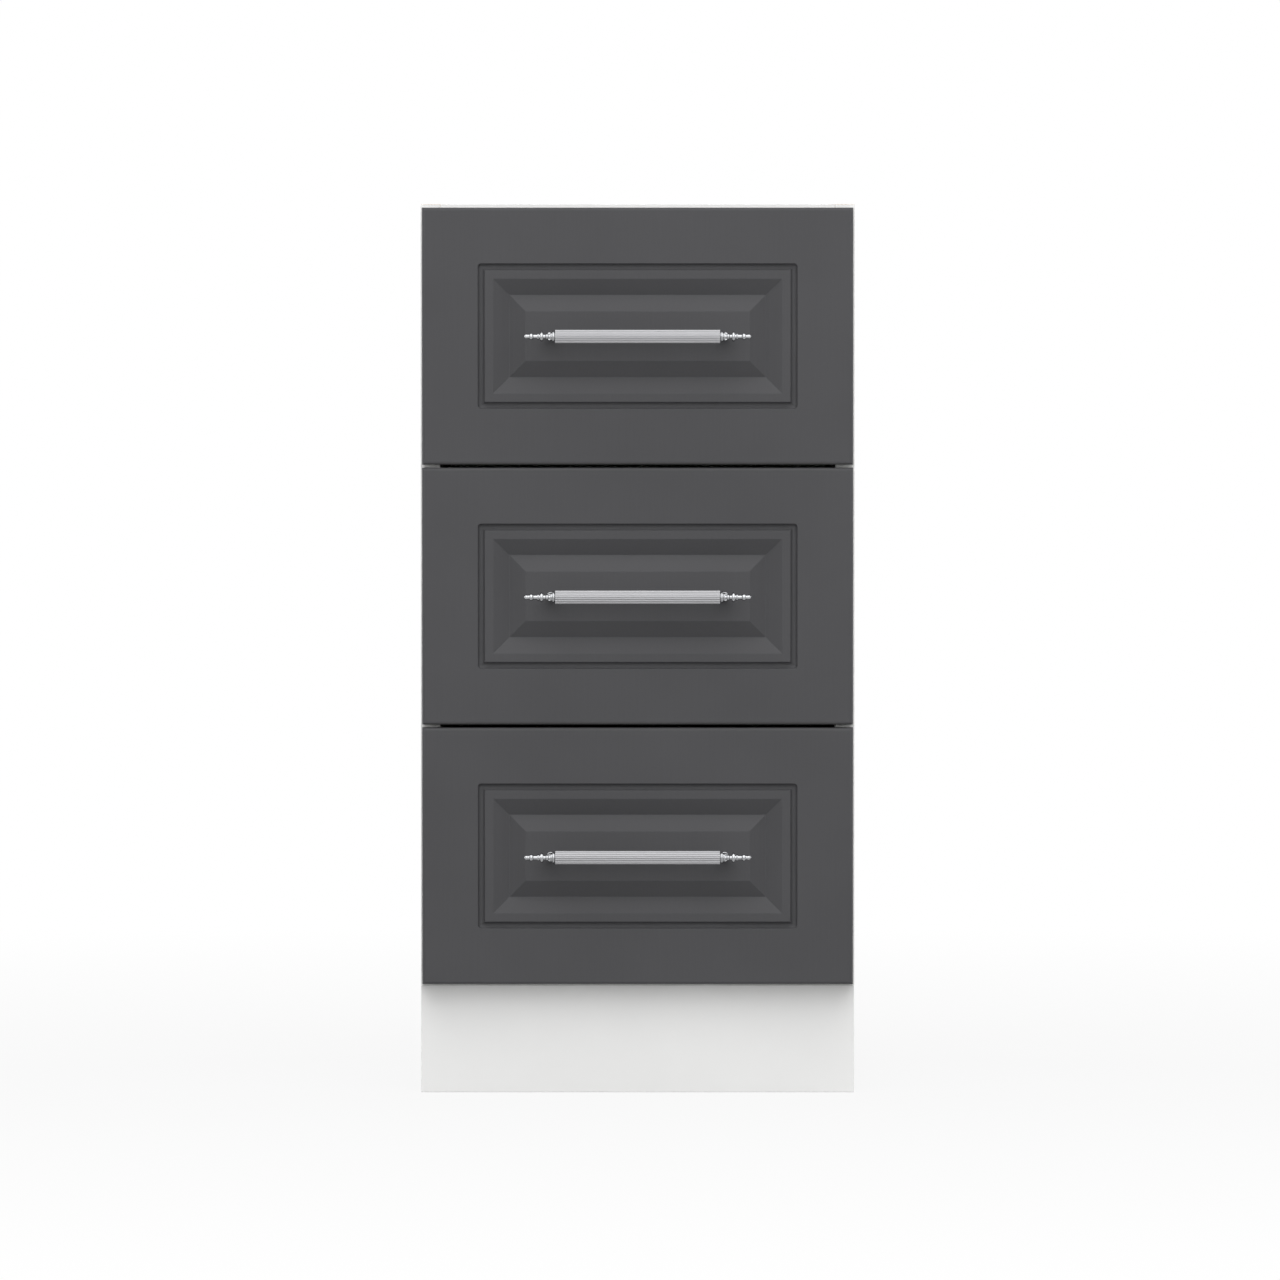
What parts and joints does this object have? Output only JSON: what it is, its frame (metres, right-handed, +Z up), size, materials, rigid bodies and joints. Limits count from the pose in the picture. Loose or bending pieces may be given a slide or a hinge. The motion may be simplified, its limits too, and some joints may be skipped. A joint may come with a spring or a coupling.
{
  "type": "base cabinet with drawers",
  "caption": "White kitchen base cabinet with dark grey profiled drawer fronts, bar handles with turned ends, ball-bearing runners, levelling legs and a clip-on plinth.",
  "frame": {"origin": "on the floor, in the middle of the overall width and of the overall depth, handles included", "axes": "+X to the right seen from the front, +Y to the rear (the wall side), +Z up; the drawers open towards -Y"},
  "size_m": [0.4, 0.6148, 0.82],
  "materials": {
    "carcass_board": "white melamine faced chipboard, 18 mm, satin",
    "plinth_board": "white melamine faced chipboard, 16 mm, satin",
    "box_board": "white melamine faced chipboard, 16 mm, satin",
    "thin_board": "white lacquered hardboard, 3 mm",
    "front_foil": "routed MDF wrapped in matt dark grey foil",
    "handle_bar_metal": "fluted, satin nickel look",
    "handle_end_chrome": "turned and polished",
    "runner_steel": "zinc plated, rolled",
    "screw_steel": "zinc plated",
    "black_plastic": "moulded, fine texture"
  },
  "bodies": {
    "carcass": {"back_nails": "screw_steel", "back_panel": "thin_board", "bottom_panel": "carcass_board", "cabinet_runners_left": "runner_steel", "cabinet_runners_right": "runner_steel", "cabinet_wood_screws": "screw_steel", "carcass_screws": "screw_steel", "leg_sockets": "black_plastic", "side_panel_left": "carcass_board", "side_panel_right": "carcass_board", "top_rail_front": "carcass_board", "top_rail_rear": "carcass_board"},
    "plinth": {"plinth_board": "plinth_board", "plinth_clips": "black_plastic"},
    "drawer_1": {"drawer_1_box_back": "box_board", "drawer_1_box_bottom": "thin_board", "drawer_1_box_front": "box_board", "drawer_1_box_side_left": "box_board", "drawer_1_box_side_right": "box_board", "drawer_1_corner_screws": "screw_steel", "drawer_1_front": "front_foil", "drawer_1_front_screws": "screw_steel", "drawer_1_handle_bar": "handle_bar_metal", "drawer_1_handle_ends": "handle_end_chrome", "drawer_1_handle_screws": "screw_steel", "drawer_1_runner_screws": "screw_steel", "drawer_1_runners": "runner_steel"},
    "drawer_1_middle": {"drawer_1_middle_runners": "runner_steel"},
    "drawer_2": {"drawer_2_box_back": "box_board", "drawer_2_box_bottom": "thin_board", "drawer_2_box_front": "box_board", "drawer_2_box_side_left": "box_board", "drawer_2_box_side_right": "box_board", "drawer_2_corner_screws": "screw_steel", "drawer_2_front": "front_foil", "drawer_2_front_screws": "screw_steel", "drawer_2_handle_bar": "handle_bar_metal", "drawer_2_handle_ends": "handle_end_chrome", "drawer_2_handle_screws": "screw_steel", "drawer_2_runner_screws": "screw_steel", "drawer_2_runners": "runner_steel"},
    "drawer_2_middle": {"drawer_2_middle_runners": "runner_steel"},
    "drawer_3": {"drawer_3_box_back": "box_board", "drawer_3_box_bottom": "thin_board", "drawer_3_box_front": "box_board", "drawer_3_box_side_left": "box_board", "drawer_3_box_side_right": "box_board", "drawer_3_corner_screws": "screw_steel", "drawer_3_front": "front_foil", "drawer_3_front_screws": "screw_steel", "drawer_3_handle_bar": "handle_bar_metal", "drawer_3_handle_ends": "handle_end_chrome", "drawer_3_handle_screws": "screw_steel", "drawer_3_runner_screws": "screw_steel", "drawer_3_runners": "runner_steel"},
    "drawer_3_middle": {"drawer_3_middle_runners": "runner_steel"},
    "foot_front_left": {"foot_front_left": "black_plastic"},
    "foot_front_right": {"foot_front_right": "black_plastic"},
    "foot_rear_left": {"foot_rear_left": "black_plastic"},
    "foot_rear_right": {"foot_rear_right": "black_plastic"}
  },
  "joints": [
    {"name": "drawer_1_slide", "type": "slide", "parent": "carcass", "child": "drawer_1", "axis": [0, -1, 0], "range_m": [0, 0.5]},
    {"name": "drawer_1_middle_slide", "type": "slide", "parent": "carcass", "child": "drawer_1_middle", "axis": [0, -1, 0], "range_m": [0, 0.25]},
    {"name": "drawer_2_slide", "type": "slide", "parent": "carcass", "child": "drawer_2", "axis": [0, -1, 0], "range_m": [0, 0.5]},
    {"name": "drawer_2_middle_slide", "type": "slide", "parent": "carcass", "child": "drawer_2_middle", "axis": [0, -1, 0], "range_m": [0, 0.25]},
    {"name": "drawer_3_slide", "type": "slide", "parent": "carcass", "child": "drawer_3", "axis": [0, -1, 0], "range_m": [0, 0.5]},
    {"name": "drawer_3_middle_slide", "type": "slide", "parent": "carcass", "child": "drawer_3_middle", "axis": [0, -1, 0], "range_m": [0, 0.25]},
    {"name": "plinth_pull", "type": "slide", "parent": "carcass", "child": "plinth", "axis": [0, -1, 0], "range_m": [0, 0.08]},
    {"name": "foot_front_left_turn", "type": "hinge", "parent": "carcass", "child": "foot_front_left", "pos_m": [-0.15, -0.1874, 0], "axis": [0, 0, 1], "continuous": true},
    {"name": "foot_rear_left_turn", "type": "hinge", "parent": "carcass", "child": "foot_rear_left", "pos_m": [-0.15, 0.2406, 0], "axis": [0, 0, 1], "continuous": true},
    {"name": "foot_front_right_turn", "type": "hinge", "parent": "carcass", "child": "foot_front_right", "pos_m": [0.15, -0.1874, 0], "axis": [0, 0, 1], "continuous": true},
    {"name": "foot_rear_right_turn", "type": "hinge", "parent": "carcass", "child": "foot_rear_right", "pos_m": [0.15, 0.2406, 0], "axis": [0, 0, 1], "continuous": true}
  ],
  "couplings": [
    {"joint": "drawer_1_middle_slide", "follows": "drawer_1_slide", "ratio": 0.5},
    {"joint": "drawer_2_middle_slide", "follows": "drawer_2_slide", "ratio": 0.5},
    {"joint": "drawer_3_middle_slide", "follows": "drawer_3_slide", "ratio": 0.5}
  ]
}
